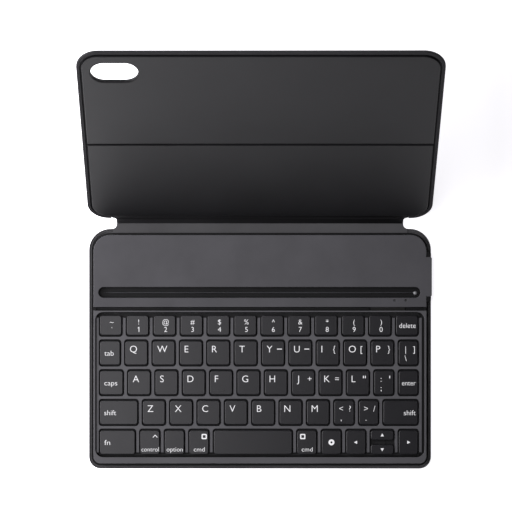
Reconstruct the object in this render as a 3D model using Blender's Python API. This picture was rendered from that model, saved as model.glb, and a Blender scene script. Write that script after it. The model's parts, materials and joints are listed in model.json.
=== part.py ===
"""Folio keyboard case for a small tablet, lying open with its cover raised behind the keyboard.

Metres, +Z up. The origin is the centre of the base's underside. +X runs to the right along the
keys and +Y to the rear, where a soft spine joins the base to the two-leaf cover. The base holds
a key well at the front and a deck with the tablet's slot at the rear. The spine bends at three
creases: at the base, behind it where the cover stands up, and at the cover's near edge.
"""

import math

import bmesh
import bpy

# Base footprint
BASE_WIDTH = 0.2010
BASE_DEPTH = 0.1410
BASE_REAR_RADIUS = 0.0125
BASE_FRONT_RADIUS = 0.0070
RIM_WIDTH = 0.0018
RIM_INSET = 0.0030
REAR_INSET = 0.0037
FRONT_INSET = 0.0035

# Levels in the base, from its underside up
SKIN_TOP = 0.0007
RIM_TOP = 0.0016
SHELL = (0.0009, 0.00505)
SHELL_FLOOR = 0.0015
LEDGE_TOP = 0.0043
LEDGE_LEFT = 0.0010
LEDGE_RIGHT = 0.0021
COVER_PLATE = (0.0052, 0.0060)
SUPPORT = (0.00165, 0.00195)
MEMBRANE = (0.0021, 0.00225)
DOME_SHEET = (0.0024, 0.0026)
DOME_TOP = 0.00295
KEYCAP = (0.00395, 0.0057)
CARRIER = (0.0040, 0.0042)
WEB = (0.00445, 0.00485)
WALL = 0.0012

# Key well and the channel behind it
WELL_HALF_WIDTH = 0.0964
WELL_FRONT = -0.0634
WELL_REAR = 0.0216
WELL_RADIUS = 0.0046
FRAME_REAR = 0.0225
DECK_FRONT = 0.0245
RIB = (0.0229, 0.0241)
RIB_TOP = 0.0038
REAR_BAY_RADIUS = 0.0080

# Key field
FIELD_LEFT = -0.0938
FIELD_RIGHT = 0.0925
FIELD_FRONT = -0.0617
KEY_GAP = 0.00305
ROW_GAP = 0.00345
KEY_DEPTH = 0.0140
NUMBER_KEY_DEPTH = 0.0115
WEB_BAR_X = 0.0017
WEB_BAR_Y = 0.0015
KEY_RADIUS = 0.0015
KEY_CHAMFER = 0.00025
LETTER = 0.01603
NUMBER = 0.01578
NARROW = 0.01437
PUNCTUATION = 0.01420
ARROW_GAP = 0.0026
FN_PITCH = 0.02365
ARROW_PAIR_PITCH = 0.01640
LEFT_SHIFT_PITCH = 0.02515
COMMA_PITCH = 0.01454
FULL_STOP_PITCH = 0.01424
WEB_SIDES = (0.0014, 0.0017)
WEB_FRONT_INSET = 0.0010
WEB_REAR_INSET = 0.0013
CARRIER_HALF_DEPTH = 0.0035

# Layers under the keys
LAYER_AREA = (-0.0949, 0.0939, -0.0626, 0.0209)
LAYER_RADIUS = 0.0010
DOME_RADIUS = 0.0022

# Tablet slot in the deck
SLOT_LEFT = -0.0946
SLOT_RIGHT = 0.0940
SLOT_FRONT = 0.03005
SLOT_REAR = 0.03625
SLOT_WALL = 0.0008
SLOT_FLOOR = 0.0024
SLOT_STEP_MARGIN = 0.0010
MAGNET_BAR_X = (-0.0918, 0.0914)
MAGNET_BAR_Y = (0.0323, 0.0336)
MAGNET_BAR_HEIGHT = 0.0009
LAMP_X = (0.0789, 0.0855)
LAMP_Y = 0.0285
LAMP_HOLE_RADIUS = 0.00065
LAMP_RADIUS = 0.00045
LAMP = (0.0021, 0.0059)

# Rear bay
BATTERY_AREA = (-0.0780, 0.0560, 0.0390, 0.0640)
BATTERY = (0.0017, 0.0047)
BOARD_AREA = (0.0620, 0.0920, 0.0385, 0.0600)
BOARD = (0.0017, 0.0025)
CHIP_AREA = (0.0690, 0.0770, 0.0460, 0.0540)
CHIP = (0.0027, 0.0036)
RIBBON_AREA = (0.0650, 0.0850, 0.0213, 0.0382)
RIBBON = (0.0016, 0.00175)
RIBBON_WAY_X = (0.0640, 0.0860)

# Connector block on the right side
BLOCK_FRONT = 0.0275
BLOCK_REAR = 0.0570
TAB_FRONT = 0.03075
TAB_REAR = 0.05395
TAB_REACH = 0.1007
BLOCK_REACH = 0.1003
BLOCK_BOTTOM = 0.00095
BLOCK_CORNER = 0.0012
SOCKET_Y = 0.0462
SOCKET_Z = 0.00315
SOCKET_X = (0.0928, 0.1001)
SOCKET_HALF_WIDTH = 0.00447
SOCKET_HALF_HEIGHT = 0.00155
SOCKET_WALL = 0.0003
SOCKET_BACK = 0.0936
SOCKET_TONGUE_X = (0.0938, 0.0990)
SOCKET_TONGUE_HALF_WIDTH = 0.0033
SOCKET_TONGUE_HALF_HEIGHT = 0.00035
SWITCH_POCKET = (0.0317, 0.0381)
SWITCH_POCKET_X = 0.0988
SWITCH_POCKET_Z = (0.0020, 0.0043)
SWITCH_NUB = (0.0320, 0.0354)
SWITCH_X = 0.0996
SWITCH_HALF_REACH = 0.00065
SWITCH_HALF_HEIGHT = 0.0009

# Spine creases and cover, measured from the crease where the cover stands up
COVER_TILT = math.radians(51.5)
SPINE_HALF_WIDTH = 0.0842
SPINE_THICKNESS = 0.0012
CREASE_CLEARANCE = 0.00035
BASE_CREASE_Y = 0.0689
STANDING_CREASE_Y = 0.0739
COVER_CREASE_AT = 0.0087
COVER_NEAR = 0.0056
COVER_FAR = 0.1466
STAND_CREASE_AT = 0.0720
STAND_GROOVE = 0.0012
COVER_RADIUS = 0.0123
COVER_SKIN = (-0.0006, 0.0001)
COVER_RIM_TOP = 0.0012
COVER_RIM_WIDTH = 0.0020
COVER_BOARD = (0.0003, 0.0010)
COVER_LINING = (0.0012, 0.0018)
LINING_RADIUS = 0.0093
WINDOW_LENGTH = 0.0263
WINDOW_WIDTH = 0.0152
WINDOW_FROM_SIDE = 0.0207
WINDOW_FROM_FAR = 0.0156
BOARD_MARGIN = 0.0006
LEAF_GAP = 0.00045
BOARD_GAP = 0.0010
STAND_CREASE_HEIGHT = -0.00025
NOTCH_ENDS = (0.0009, 0.0012, 0.0011)
MAGNET_X = 0.0500
MAGNET_HALF_LENGTH = 0.0300
MAGNET_SPAN = (0.0150, 0.0250)
MAGNET_CLEARANCE = 0.0003

HALF_WIDTH = BASE_WIDTH / 2
HALF_DEPTH = BASE_DEPTH / 2
NOTCH_HALF_WIDTH = SPINE_HALF_WIDTH + 0.0003
FREE = 0.0020
SHELL_SIDE = HALF_WIDTH - RIM_INSET
SHELL_REAR = HALF_DEPTH - REAR_INSET
SHELL_FRONT = -HALF_DEPTH + FRONT_INSET


# Outlines and solids


def rounded(left, right, front, rear, radii, steps=3):
    """A rectangle with round corners: front left, front right, rear right and rear left."""
    corners = (
        (left + radii[0], front + radii[0], radii[0], 180),
        (right - radii[1], front + radii[1], radii[1], 270),
        (right - radii[2], rear - radii[2], radii[2], 0),
        (left + radii[3], rear - radii[3], radii[3], 90),
    )
    outline = []
    for x, y, radius, start in corners:
        if radius == 0:
            outline.append((x, y))
            continue
        for step in range(steps + 1):
            angle = math.radians(start + 90 * step / steps)
            outline.append((x + radius * math.cos(angle), y + radius * math.sin(angle)))
    return outline


def stadium(left, right, front, rear, steps=5):
    """A slot outline with half-round ends."""
    radius = (rear - front) / 2
    middle = (front + rear) / 2
    outline = []
    for x, start in ((right - radius, -90), (left + radius, 90)):
        for step in range(steps + 1):
            angle = math.radians(start + 180 * step / steps)
            outline.append((x + radius * math.cos(angle), middle + radius * math.sin(angle)))
    return outline


def polygon(x, y, radius, sides):
    angles = [2 * math.pi * (side + 0.5) / sides for side in range(sides)]
    return [(x + radius * math.cos(angle), y + radius * math.sin(angle)) for angle in angles]


def add_prism(mesh, loops, low, high):
    """Adds the outline loops[0] with the holes loops[1:], extruded from low to high."""
    edges = []
    for loop in loops:
        corners = [mesh.verts.new((x, y, low)) for x, y in loop]
        for here, there in zip(corners, corners[1:] + corners[:1]):
            edges.append(mesh.edges.new((here, there)))
    filled = bmesh.ops.triangle_fill(mesh, edges=edges, use_beauty=True)["geom"]
    faces = [item for item in filled if isinstance(item, bmesh.types.BMFace)]
    grown = bmesh.ops.extrude_face_region(mesh, geom=faces)["geom"]
    risen = [item for item in grown if isinstance(item, bmesh.types.BMVert)]
    bmesh.ops.translate(mesh, verts=risen, vec=(0, 0, high - low))


def add_cap(mesh, half_width, half_depth, low, high):
    """Adds a keycap: a round-cornered block whose top edge is chamfered."""
    rings = (
        (0, low, KEY_RADIUS),
        (0, high - KEY_CHAMFER, KEY_RADIUS),
        (KEY_CHAMFER, high, KEY_RADIUS - KEY_CHAMFER),
    )
    previous = None
    for inset, height, radius in rings:
        side = half_width - inset
        end = half_depth - inset
        outline = rounded(-side, side, -end, end, [radius] * 4, 2)
        ring = [mesh.verts.new((x, y, height)) for x, y in outline]
        if previous is None:
            mesh.faces.new(ring[::-1])
        else:
            for index in range(len(ring)):
                after = (index + 1) % len(ring)
                mesh.faces.new((previous[index], previous[after], ring[after], ring[index]))
        previous = ring
    mesh.faces.new(previous)


def made_object(name, mesh, material, parent=None):
    """Closes a bmesh into a named object in its parent's space."""
    bmesh.ops.recalc_face_normals(mesh, faces=mesh.faces[:])
    data = bpy.data.meshes.new(name)
    mesh.to_mesh(data)
    mesh.free()
    obj = bpy.data.objects.new(name, data)
    bpy.context.scene.collection.objects.link(obj)
    obj.parent = parent
    if material:
        data.materials.append(material)
    return obj


def solid(name, loops, low, high, material, parent=None):
    mesh = bmesh.new()
    add_prism(mesh, loops, low, high)
    return made_object(name, mesh, material, parent)


def bar_along_x(name, outline, left, right, material, parent=None):
    """A solid whose outline lies in the YZ plane and which runs from left to right."""
    mesh = bmesh.new()
    add_prism(mesh, [outline], left, right)
    for vertex in mesh.verts:
        y, z, x = vertex.co
        vertex.co = (x, y, z)
    return made_object(name, mesh, material, parent)


def hidden(helper):
    """Marks an object as one that only a Boolean uses."""
    helper.hide_render = True
    helper.display_type = "WIRE"
    return helper


def tool(name, loops, low, high, parent=None):
    return hidden(solid(name, loops, low, high, None, parent))


def box_tool(name, x, y, z, parent=None):
    return tool(name, [rounded(x[0], x[1], y[0], y[1], [0] * 4)], z[0], z[1], parent)


def combine(obj, other, operation):
    modifier = obj.modifiers.new(other.name, "BOOLEAN")
    modifier.operation = operation
    modifier.solver = "EXACT"
    modifier.object = other


def cut(obj, *others):
    for other in others:
        combine(obj, other, "DIFFERENCE")


def empty(name, location, tilt=0, parent=None):
    """An axis marker that moving pieces hang from."""
    marker = bpy.data.objects.new(name, None)
    bpy.context.scene.collection.objects.link(marker)
    marker.parent = parent
    marker.location = location
    marker.rotation_euler = (tilt, 0, 0)
    return marker


def finish(name, colour, roughness, metallic=0.0):
    material = bpy.data.materials.new(name)
    material.use_nodes = True
    shader = material.node_tree.nodes["Principled BSDF"]
    shader.inputs["Base Color"].default_value = (*colour, 1)
    shader.inputs["Roughness"].default_value = roughness
    shader.inputs["Metallic"].default_value = metallic
    return material


def make_finishes():
    return {
        "skin": finish("skin", (0.045, 0.045, 0.050), 0.55),
        "deck": finish("deck", (0.085, 0.084, 0.092), 0.60),
        "keycap": finish("keycap", (0.035, 0.035, 0.040), 0.45),
        "black": finish("black", (0.010, 0.010, 0.012), 0.50),
        "lining": finish("lining", (0.050, 0.050, 0.056), 0.55),
        "board": finish("board", (0.50, 0.46, 0.38), 0.80),
        "steel": finish("steel", (0.55, 0.55, 0.56), 0.35, 1.0),
        "film": finish("film", (0.020, 0.019, 0.018), 0.40),
        "silicone": finish("silicone", (0.012, 0.012, 0.013), 0.60),
        "circuit": finish("circuit", (0.02, 0.12, 0.05), 0.45),
        "cell": finish("cell", (0.60, 0.61, 0.63), 0.40, 0.8),
        "lamp": finish("lamp", (0.30, 0.30, 0.30), 0.25),
    }


# Base: casing


def make_base_skin(look):
    """The soft outer skin: a sheet under the base with a raised rim, open where the spine starts."""
    radii = [BASE_FRONT_RADIUS, BASE_FRONT_RADIUS, BASE_REAR_RADIUS, BASE_REAR_RADIUS]
    outline = rounded(-HALF_WIDTH, HALF_WIDTH, -HALF_DEPTH, HALF_DEPTH, radii, 6)
    skin = solid("base_skin", [outline], 0, RIM_TOP, look["skin"])
    side = HALF_WIDTH - RIM_WIDTH
    end = HALF_DEPTH - RIM_WIDTH
    inner = rounded(-side, side, -end, end, [radius - RIM_WIDTH for radius in radii], 6)
    tray = tool("base_skin_tray", [inner], SKIN_TOP, 2 * RIM_TOP)
    rear_cut = box_tool(
        "base_skin_rear",
        (-NOTCH_HALF_WIDTH, NOTCH_HALF_WIDTH),
        (BASE_CREASE_Y - CREASE_CLEARANCE, BASE_DEPTH),
        (-RIM_TOP, 2 * RIM_TOP),
    )
    block_cut = box_tool(
        "base_skin_block",
        (SHELL_SIDE, BASE_WIDTH),
        (BLOCK_FRONT - 0.0002, BLOCK_REAR + 0.0002),
        (SKIN_TOP, 2 * RIM_TOP),
    )
    cut(skin, tray, rear_cut, block_cut)


def shell_outline(inset, steps=4):
    front = BASE_FRONT_RADIUS - RIM_INSET
    rear = BASE_REAR_RADIUS - RIM_INSET - inset
    return rounded(
        -SHELL_SIDE + inset,
        SHELL_SIDE - inset,
        SHELL_FRONT + inset,
        SHELL_REAR - inset,
        [front, front, rear, rear],
        steps,
    )


def make_lower_shell(look):
    """The moulded tub: a key bay with side ledges, a rib, and a rear bay for cell and circuit."""
    shell = solid("lower_shell", [shell_outline(0)], SHELL[0], SHELL[1], look["black"])
    inner = SHELL_SIDE - WALL
    bay_front = SHELL_FRONT + WALL
    key_bay = box_tool(
        "shell_key_bay",
        (-inner + LEDGE_LEFT, inner - LEDGE_RIGHT),
        (bay_front, RIB[0]),
        (SHELL_FLOOR, 2 * SHELL[1]),
    )
    web_bay = box_tool(
        "shell_web_bay", (-inner, inner), (bay_front, RIB[0]), (LEDGE_TOP, 2 * SHELL[1])
    )
    slot_step = box_tool(
        "shell_slot_step",
        (-inner - 0.0005, inner + 0.0005),
        (SLOT_FRONT - SLOT_STEP_MARGIN, SLOT_REAR + SLOT_STEP_MARGIN),
        (SHELL[0] + 0.0002, SLOT_FLOOR),
    )
    rear_bay = tool(
        "shell_rear_bay",
        [rounded(-inner, inner, RIB[1], SHELL_REAR - WALL, [0, 0, REAR_BAY_RADIUS, REAR_BAY_RADIUS])],
        SHELL_FLOOR,
        2 * SHELL[1],
    )
    across_rib = (FRAME_REAR - 0.0005, DECK_FRONT + 0.0005)
    rib_top = box_tool("shell_rib_top", (-inner, inner), across_rib, (RIB_TOP, 2 * SHELL[1]))
    ribbon_way = box_tool("shell_ribbon_way", RIBBON_WAY_X, across_rib, (SHELL_FLOOR, 2 * SHELL[1]))
    tunnel_span = (RIB[1] - 0.0001, SLOT_REAR + 0.00175)
    ribbon_tunnel = box_tool("shell_ribbon_tunnel", RIBBON_WAY_X, tunnel_span, (SHELL_FLOOR, 0.0019))
    socket_way = box_tool(
        "shell_socket_way",
        (inner - 0.0013, SHELL_SIDE + 0.0015),
        (SOCKET_Y - 0.0050, SOCKET_Y + 0.0050),
        (SHELL_FLOOR, 2 * SHELL[1]),
    )
    cut(shell, key_bay, web_bay, rear_bay)
    combine(shell, slot_step, "UNION")
    cut(shell, rib_top, ribbon_way, ribbon_tunnel, socket_way)


def make_keyboard_frame(look):
    """The narrow bezel round the key well."""
    front = BASE_FRONT_RADIUS - RIM_INSET
    outer = rounded(-SHELL_SIDE, SHELL_SIDE, SHELL_FRONT, FRAME_REAR, [front, front, 0, 0], 4)
    well = rounded(
        -WELL_HALF_WIDTH, WELL_HALF_WIDTH, WELL_FRONT, WELL_REAR, [WELL_RADIUS] * 4, 4
    )
    solid("keyboard_frame", [outer, well], COVER_PLATE[0], COVER_PLATE[1], look["deck"])


def make_top_deck(look):
    """The plate behind the keys, with the tablet's slot, two lamp holes and the side tab."""
    rear = BASE_REAR_RADIUS - RIM_INSET
    outer = rounded(-SHELL_SIDE, SHELL_SIDE, DECK_FRONT, SHELL_REAR, [0, 0, rear, rear], 5)
    tab_edge = rounded(SHELL_SIDE, TAB_REACH, TAB_FRONT, TAB_REAR, [0, 0.0010, 0.0010, 0], 2)
    tab_corners = ((SHELL_SIDE, TAB_FRONT), (SHELL_SIDE, TAB_REAR))
    deck_outline = outer[:2] + [tab_corners[0]] + tab_edge[1:-1] + [tab_corners[1]] + outer[2:]
    loops = [deck_outline, stadium(SLOT_LEFT, SLOT_RIGHT, SLOT_FRONT, SLOT_REAR)]
    loops += [polygon(x, LAMP_Y, LAMP_HOLE_RADIUS, 8) for x in LAMP_X]
    solid("top_deck", loops, COVER_PLATE[0], COVER_PLATE[1], look["deck"])


def make_slot(look):
    """The two rails under the slot's edges and the magnetic bar that the tablet's edge rests on."""
    end_radius = (SLOT_REAR - SLOT_FRONT) / 2
    ends = (SLOT_LEFT + end_radius, SLOT_RIGHT - end_radius)
    for name, inner in (("slot_rail_front", SLOT_FRONT - 0.0001), ("slot_rail_rear", SLOT_REAR + 0.0001)):
        outward = -SLOT_WALL if inner < (SLOT_FRONT + SLOT_REAR) / 2 else SLOT_WALL
        sides = sorted((inner, inner + outward))
        solid(name, [rounded(*ends, *sides, [0] * 4)], SLOT_FLOOR + 0.0002, SHELL[1], look["black"])
    low = SLOT_FLOOR + 0.0002
    bar = rounded(*MAGNET_BAR_Y, low, low + MAGNET_BAR_HEIGHT, [0, 0, 0.0004, 0.0004], 2)
    bar_along_x("slot_magnet_bar", bar, *MAGNET_BAR_X, look["steel"])


def socket_outline(inset):
    """The socket's round-ended section, in the YZ plane."""
    half_width = SOCKET_HALF_WIDTH - inset
    half_height = SOCKET_HALF_HEIGHT - inset
    radius = half_height - SOCKET_WALL
    return rounded(
        SOCKET_Y - half_width,
        SOCKET_Y + half_width,
        SOCKET_Z - half_height,
        SOCKET_Z + half_height,
        [radius] * 4,
    )


def make_connector_block(look):
    """The black block on the right side, with its charging socket and its sliding switch."""
    corners = [0, BLOCK_CORNER, BLOCK_CORNER, 0]
    block = solid(
        "port_bezel",
        [rounded(SHELL_SIDE + 0.0002, BLOCK_REACH, BLOCK_FRONT, BLOCK_REAR, corners, 2)],
        BLOCK_BOTTOM,
        SHELL[1],
        look["black"],
    )
    socket_hole = box_tool(
        "block_socket_hole",
        (SHELL_SIDE - 0.0010, BLOCK_REACH + FREE),
        (SOCKET_Y - 0.0046, SOCKET_Y + 0.0046),
        (SOCKET_Z - 0.0017, SOCKET_Z + 0.0017),
    )
    pocket_reach = (SWITCH_POCKET_X, BLOCK_REACH + FREE)
    switch_pocket = box_tool("block_switch_pocket", pocket_reach, SWITCH_POCKET, SWITCH_POCKET_Z)
    cut(block, socket_hole, switch_pocket)

    socket = bar_along_x("usb_socket_shell", socket_outline(0), *SOCKET_X, look["steel"])
    mouth = bar_along_x("socket_mouth", socket_outline(SOCKET_WALL), SOCKET_BACK, BLOCK_REACH + FREE, None)
    cut(socket, hidden(mouth))
    tongue = rounded(
        SOCKET_Y - SOCKET_TONGUE_HALF_WIDTH,
        SOCKET_Y + SOCKET_TONGUE_HALF_WIDTH,
        SOCKET_Z - SOCKET_TONGUE_HALF_HEIGHT,
        SOCKET_Z + SOCKET_TONGUE_HALF_HEIGHT,
        [0] * 4,
    )
    bar_along_x("usb_socket_tongue", tongue, *SOCKET_TONGUE_X, look["black"])

    switch_axis = empty("power_switch_axis", (SWITCH_X, sum(SWITCH_NUB) / 2, SOCKET_Z))
    half_nub = (SWITCH_NUB[1] - SWITCH_NUB[0]) / 2
    nub_corners = [0, 0.0003, 0.0003, 0]
    solid(
        "power_switch",
        [rounded(-SWITCH_HALF_REACH, SWITCH_HALF_REACH, -half_nub, half_nub, nub_corners, 2)],
        -SWITCH_HALF_HEIGHT,
        SWITCH_HALF_HEIGHT,
        look["black"],
        switch_axis,
    )


# Base: inside


def make_key_layers(look):
    """The stack under the keys: a steel plate, the switch membrane and a sheet of rubber domes."""
    area = rounded(*LAYER_AREA, [LAYER_RADIUS] * 4, 1)
    solid("support_plate", [area], *SUPPORT, look["steel"])
    solid("membrane", [area], *MEMBRANE, look["film"])
    sheet = solid("dome_sheet", [area], *DOME_SHEET, look["silicone"])
    domes = bmesh.new()
    for key in all_keys():
        dome = polygon(sum(key["x"]) / 2, sum(key["y"]) / 2, DOME_RADIUS, 6)
        add_prism(domes, [dome], DOME_SHEET[0] + 0.0001, DOME_TOP)
    combine(sheet, hidden(made_object("dome_bumps", domes, None)), "UNION")


def make_electronics(look):
    """Cell, circuit board, controller, ribbon and the two lamp pipes, in the rear bay."""
    solid("battery", [rounded(*BATTERY_AREA, [0.0010] * 4, 2)], *BATTERY, look["cell"])
    solid("circuit_board", [rounded(*BOARD_AREA, [0.0005] * 4, 1)], *BOARD, look["circuit"])
    solid("controller_chip", [rounded(*CHIP_AREA, [0] * 4)], *CHIP, look["black"])
    solid("flex_ribbon", [rounded(*RIBBON_AREA, [0] * 4)], *RIBBON, look["film"])
    for name, x in zip(("lamp_pipe_left", "lamp_pipe_right"), LAMP_X):
        solid(name, [polygon(x, LAMP_Y, LAMP_RADIUS, 8)], *LAMP, look["lamp"])


# Keys


def rows():
    """Each row from the front: its name, its depth, and its keys as (name, pitch).

    The key whose pitch is None takes what is left of the field's width. Names that start with
    key_ are keys of their own, and a row's others share one bank.
    """
    letters = {
        "lower": [("key_" + letter, LETTER) for letter in "zxcvbnm"],
        "home": [("letter_" + letter, LETTER) for letter in "asdfghjkl"],
        "upper": [("letter_" + letter, LETTER) for letter in "qwertyuiop"],
    }
    return (
        (
            "space_row",
            KEY_DEPTH,
            [("key_fn", FN_PITCH), ("key_control", NARROW), ("key_option", NARROW)]
            + [("key_command_left", NARROW), ("key_space", None), ("key_command_right", NARROW)]
            + [("key_link", NARROW), ("key_arrow_left", NARROW), ("arrow_pair", ARROW_PAIR_PITCH)]
            + [("key_arrow_right", PUNCTUATION)],
        ),
        (
            "lower_row",
            KEY_DEPTH,
            [("key_shift_left", LEFT_SHIFT_PITCH), *letters["lower"], ("key_comma", COMMA_PITCH)]
            + [("key_full_stop", FULL_STOP_PITCH), ("key_shift_right", None)],
        ),
        (
            "home_row",
            KEY_DEPTH,
            [("key_caps", None), *letters["home"], ("semicolon", NARROW), ("key_enter", PUNCTUATION)],
        ),
        (
            "upper_row",
            KEY_DEPTH,
            [("key_tab", None), *letters["upper"], ("backslash", PUNCTUATION)],
        ),
        (
            "number_row",
            NUMBER_KEY_DEPTH,
            [("grave", None)]
            + [("digit_" + digit, NUMBER) for digit in "1234567890"]
            + [("key_delete", NUMBER)],
        ),
    )


def all_keys():
    """Every keycap with its row, its x and y limits, in order from the front left."""
    found = []
    front = FIELD_FRONT
    for row, depth, members in rows():
        given = sum(pitch for name, pitch in members if pitch)
        rest = FIELD_RIGHT + KEY_GAP - FIELD_LEFT - given
        left = FIELD_LEFT
        for name, pitch in members:
            right = left + (pitch or rest) - KEY_GAP
            found.append({"name": name, "row": row, "x": (left, right), "y": (front, front + depth)})
            left = right + KEY_GAP
        front += depth + ROW_GAP
    return found


def add_key(mesh, key, centre):
    """Adds one keycap's block, placed from the given centre."""
    start = len(mesh.verts)
    add_cap(mesh, (key["x"][1] - key["x"][0]) / 2, (key["y"][1] - key["y"][0]) / 2, *KEYCAP)
    mesh.verts.ensure_lookup_table()
    shift = ((sum(key["x"]) / 2) - centre[0], (sum(key["y"]) / 2) - centre[1], -KEYCAP[0])
    bmesh.ops.translate(mesh, verts=mesh.verts[start:], vec=shift)


def make_single_key(name, key, look):
    centre = (sum(key["x"]) / 2, sum(key["y"]) / 2)
    mesh = bmesh.new()
    add_key(mesh, key, centre)
    cap = made_object(name, mesh, look["keycap"])
    cap.location = (*centre, KEYCAP[0])


def make_bank(name, keys, look):
    """The caps of one row's ordinary keys, joined by a thin carrier strip under the web."""
    left = keys[0]["x"][0]
    right = keys[-1]["x"][1]
    middle = sum(keys[0]["y"]) / 2
    centre = ((left + right) / 2, middle)
    mesh = bmesh.new()
    for key in keys:
        add_key(mesh, key, centre)
    bank = made_object(name, mesh, look["keycap"])
    bank.location = (*centre, KEYCAP[0])
    reach = (right - left) / 2 - KEY_RADIUS
    strip = box_tool(
        name + "_carrier",
        (-reach, reach),
        (-CARRIER_HALF_DEPTH, CARRIER_HALF_DEPTH),
        (CARRIER[0] - KEYCAP[0], CARRIER[1] - KEYCAP[0]),
        bank,
    )
    combine(bank, strip, "UNION")


def make_keys(look):
    for row, _, _ in rows():
        ordinary = []
        for key in all_keys():
            if key["row"] != row:
                continue
            if key["name"] == "arrow_pair":
                half = (sum(key["y"]) - ARROW_GAP) / 2
                lower = {**key, "y": (key["y"][0], half)}
                upper = {**key, "y": (half + ARROW_GAP, key["y"][1])}
                make_single_key("key_arrow_down", lower, look)
                make_single_key("key_arrow_up", upper, look)
            elif key["name"].startswith("key_"):
                make_single_key(key["name"], key, look)
            else:
                ordinary.append(key)
        if ordinary:
            make_bank(row + "_keys", ordinary, look)


def make_key_web(look):
    """The grid between the keys: cross bars, side rails and short uprights at front and rear."""
    side = (KEY_GAP - WEB_BAR_X) / 2
    end = (ROW_GAP - WEB_BAR_Y) / 2
    keys = all_keys()
    outline = rounded(
        FIELD_LEFT - side - WEB_SIDES[0],
        FIELD_RIGHT + side + WEB_SIDES[1],
        FIELD_FRONT + WEB_FRONT_INSET,
        keys[-1]["y"][1] - WEB_REAR_INSET,
        [0] * 4,
    )
    web = solid("key_web", [outline], *WEB, look["deck"])
    cells = bmesh.new()
    for key in keys:
        low = key["y"][0] - end - (FREE if key["row"] == "space_row" else 0)
        high = key["y"][1] + end + (FREE if key["row"] == "number_row" else 0)
        cell = rounded(key["x"][0] - side, key["x"][1] + side, low, high, [0] * 4)
        add_prism(cells, [cell], WEB[0] - 0.001, WEB[1] + 0.001)
    cut(web, hidden(made_object("web_cells", cells, None)))


# Spine and cover


def spine_strip(name, start, end, parent, look):
    """A soft strip between two creases, with half-round edges that clear them."""
    half = SPINE_THICKNESS / 2
    sides = (start + CREASE_CLEARANCE, end - CREASE_CLEARANCE)
    outline = rounded(*sides, -half, half, [half * 0.999] * 4, 3)
    bar_along_x(name, outline, -SPINE_HALF_WIDTH, SPINE_HALF_WIDTH, look["skin"], parent)


def make_spine(look):
    axis_height = SPINE_THICKNESS / 2
    base_crease = empty("base_crease_axis", (0, BASE_CREASE_Y, axis_height))
    spine_strip("spine_tongue", 0, STANDING_CREASE_Y - BASE_CREASE_Y, base_crease, look)
    standing = empty(
        "standing_crease_axis", (0, STANDING_CREASE_Y - BASE_CREASE_Y, 0), COVER_TILT, base_crease
    )
    spine_strip("spine_strip", 0, COVER_CREASE_AT, standing, look)
    return empty("cover_crease_axis", (0, COVER_CREASE_AT, 0), 0, standing)


def window_tool(name, parent, origin):
    """A round-ended cutter for the camera window, in the upper leaf's space."""
    x = -HALF_WIDTH + WINDOW_FROM_SIDE
    along = COVER_FAR - WINDOW_FROM_FAR - origin
    half_length = WINDOW_LENGTH / 2
    half_width = WINDOW_WIDTH / 2
    outline = stadium(x - half_length, x + half_length, along - half_width, along + half_width, 6)
    return tool(name, [outline], -2 * FREE, 2 * FREE, parent)


def make_leaf(leaf, parent, near, far, drop, look):
    """One cover leaf: outer skin with its rim, a stiff board and the inner lining.

    near and far are the leaf's limits from its own crease, and drop is how far the crease lies
    above the leaf's middle plane. The leaf's outer corners are round.
    """
    is_upper = leaf == "upper"

    def outline(inset, radius, crease_inset):
        side = HALF_WIDTH - inset
        if is_upper:
            return rounded(-side, side, near + crease_inset, far - inset, [0, 0, radius, radius], 5)
        return rounded(-side, side, near + inset, far - crease_inset, [radius, radius, 0, 0], 5)

    def layer(name, loop, levels, finish_name):
        low, high = (level - drop for level in levels)
        return solid(f"{leaf}_cover_{name}", [loop], low, high, look[finish_name], parent)

    skin = layer("skin", outline(0, COVER_RADIUS, LEAF_GAP), (COVER_SKIN[0], COVER_RIM_TOP), "skin")
    pocket = tool(
        f"{leaf}_skin_pocket",
        [outline(COVER_RIM_WIDTH, COVER_RADIUS - COVER_RIM_WIDTH, -FREE)],
        COVER_SKIN[1] - drop,
        COVER_RIM_TOP - drop + FREE,
        parent,
    )
    cut(skin, pocket)
    board = layer("board", outline(RIM_INSET + BOARD_MARGIN, LINING_RADIUS, BOARD_GAP), COVER_BOARD, "board")
    lining = layer("lining", outline(RIM_INSET, LINING_RADIUS, STAND_GROOVE / 2), COVER_LINING, "lining")
    return skin, board, lining


def make_cover(look):
    cover_crease = make_spine(look)
    origin = COVER_CREASE_AT
    near = COVER_NEAR - origin
    far = STAND_CREASE_AT - origin
    pieces = make_leaf("lower", cover_crease, near, far, 0, look)
    for piece, end in zip(pieces, NOTCH_ENDS):
        notch = box_tool(
            piece.name + "_notch",
            (-NOTCH_HALF_WIDTH, NOTCH_HALF_WIDTH),
            (near - 0.0010, end),
            (-2 * FREE, 2 * FREE),
            cover_crease,
        )
        cut(piece, notch)

    crease = empty("stand_crease_axis", (0, far, STAND_CREASE_HEIGHT), 0, cover_crease)
    pieces = make_leaf("upper", crease, 0, COVER_FAR - STAND_CREASE_AT, STAND_CREASE_HEIGHT, look)
    for piece in pieces:
        cut(piece, window_tool(piece.name + "_window", crease, STAND_CREASE_AT))
    low, high = (level - STAND_CREASE_HEIGHT for level in COVER_BOARD)
    seat_span = (MAGNET_SPAN[0] - MAGNET_CLEARANCE, MAGNET_SPAN[1] + MAGNET_CLEARANCE)
    for name, x in (("cover_magnet_left", -MAGNET_X), ("cover_magnet_right", MAGNET_X)):
        reach = MAGNET_HALF_LENGTH + MAGNET_CLEARANCE
        seat = box_tool(name + "_seat", (x - reach, x + reach), seat_span, (0, 2 * FREE), crease)
        cut(pieces[1], seat)
        sides = (x - MAGNET_HALF_LENGTH, x + MAGNET_HALF_LENGTH)
        solid(name, [rounded(*sides, *MAGNET_SPAN, [0] * 4)], low, high, look["steel"], crease)


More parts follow.
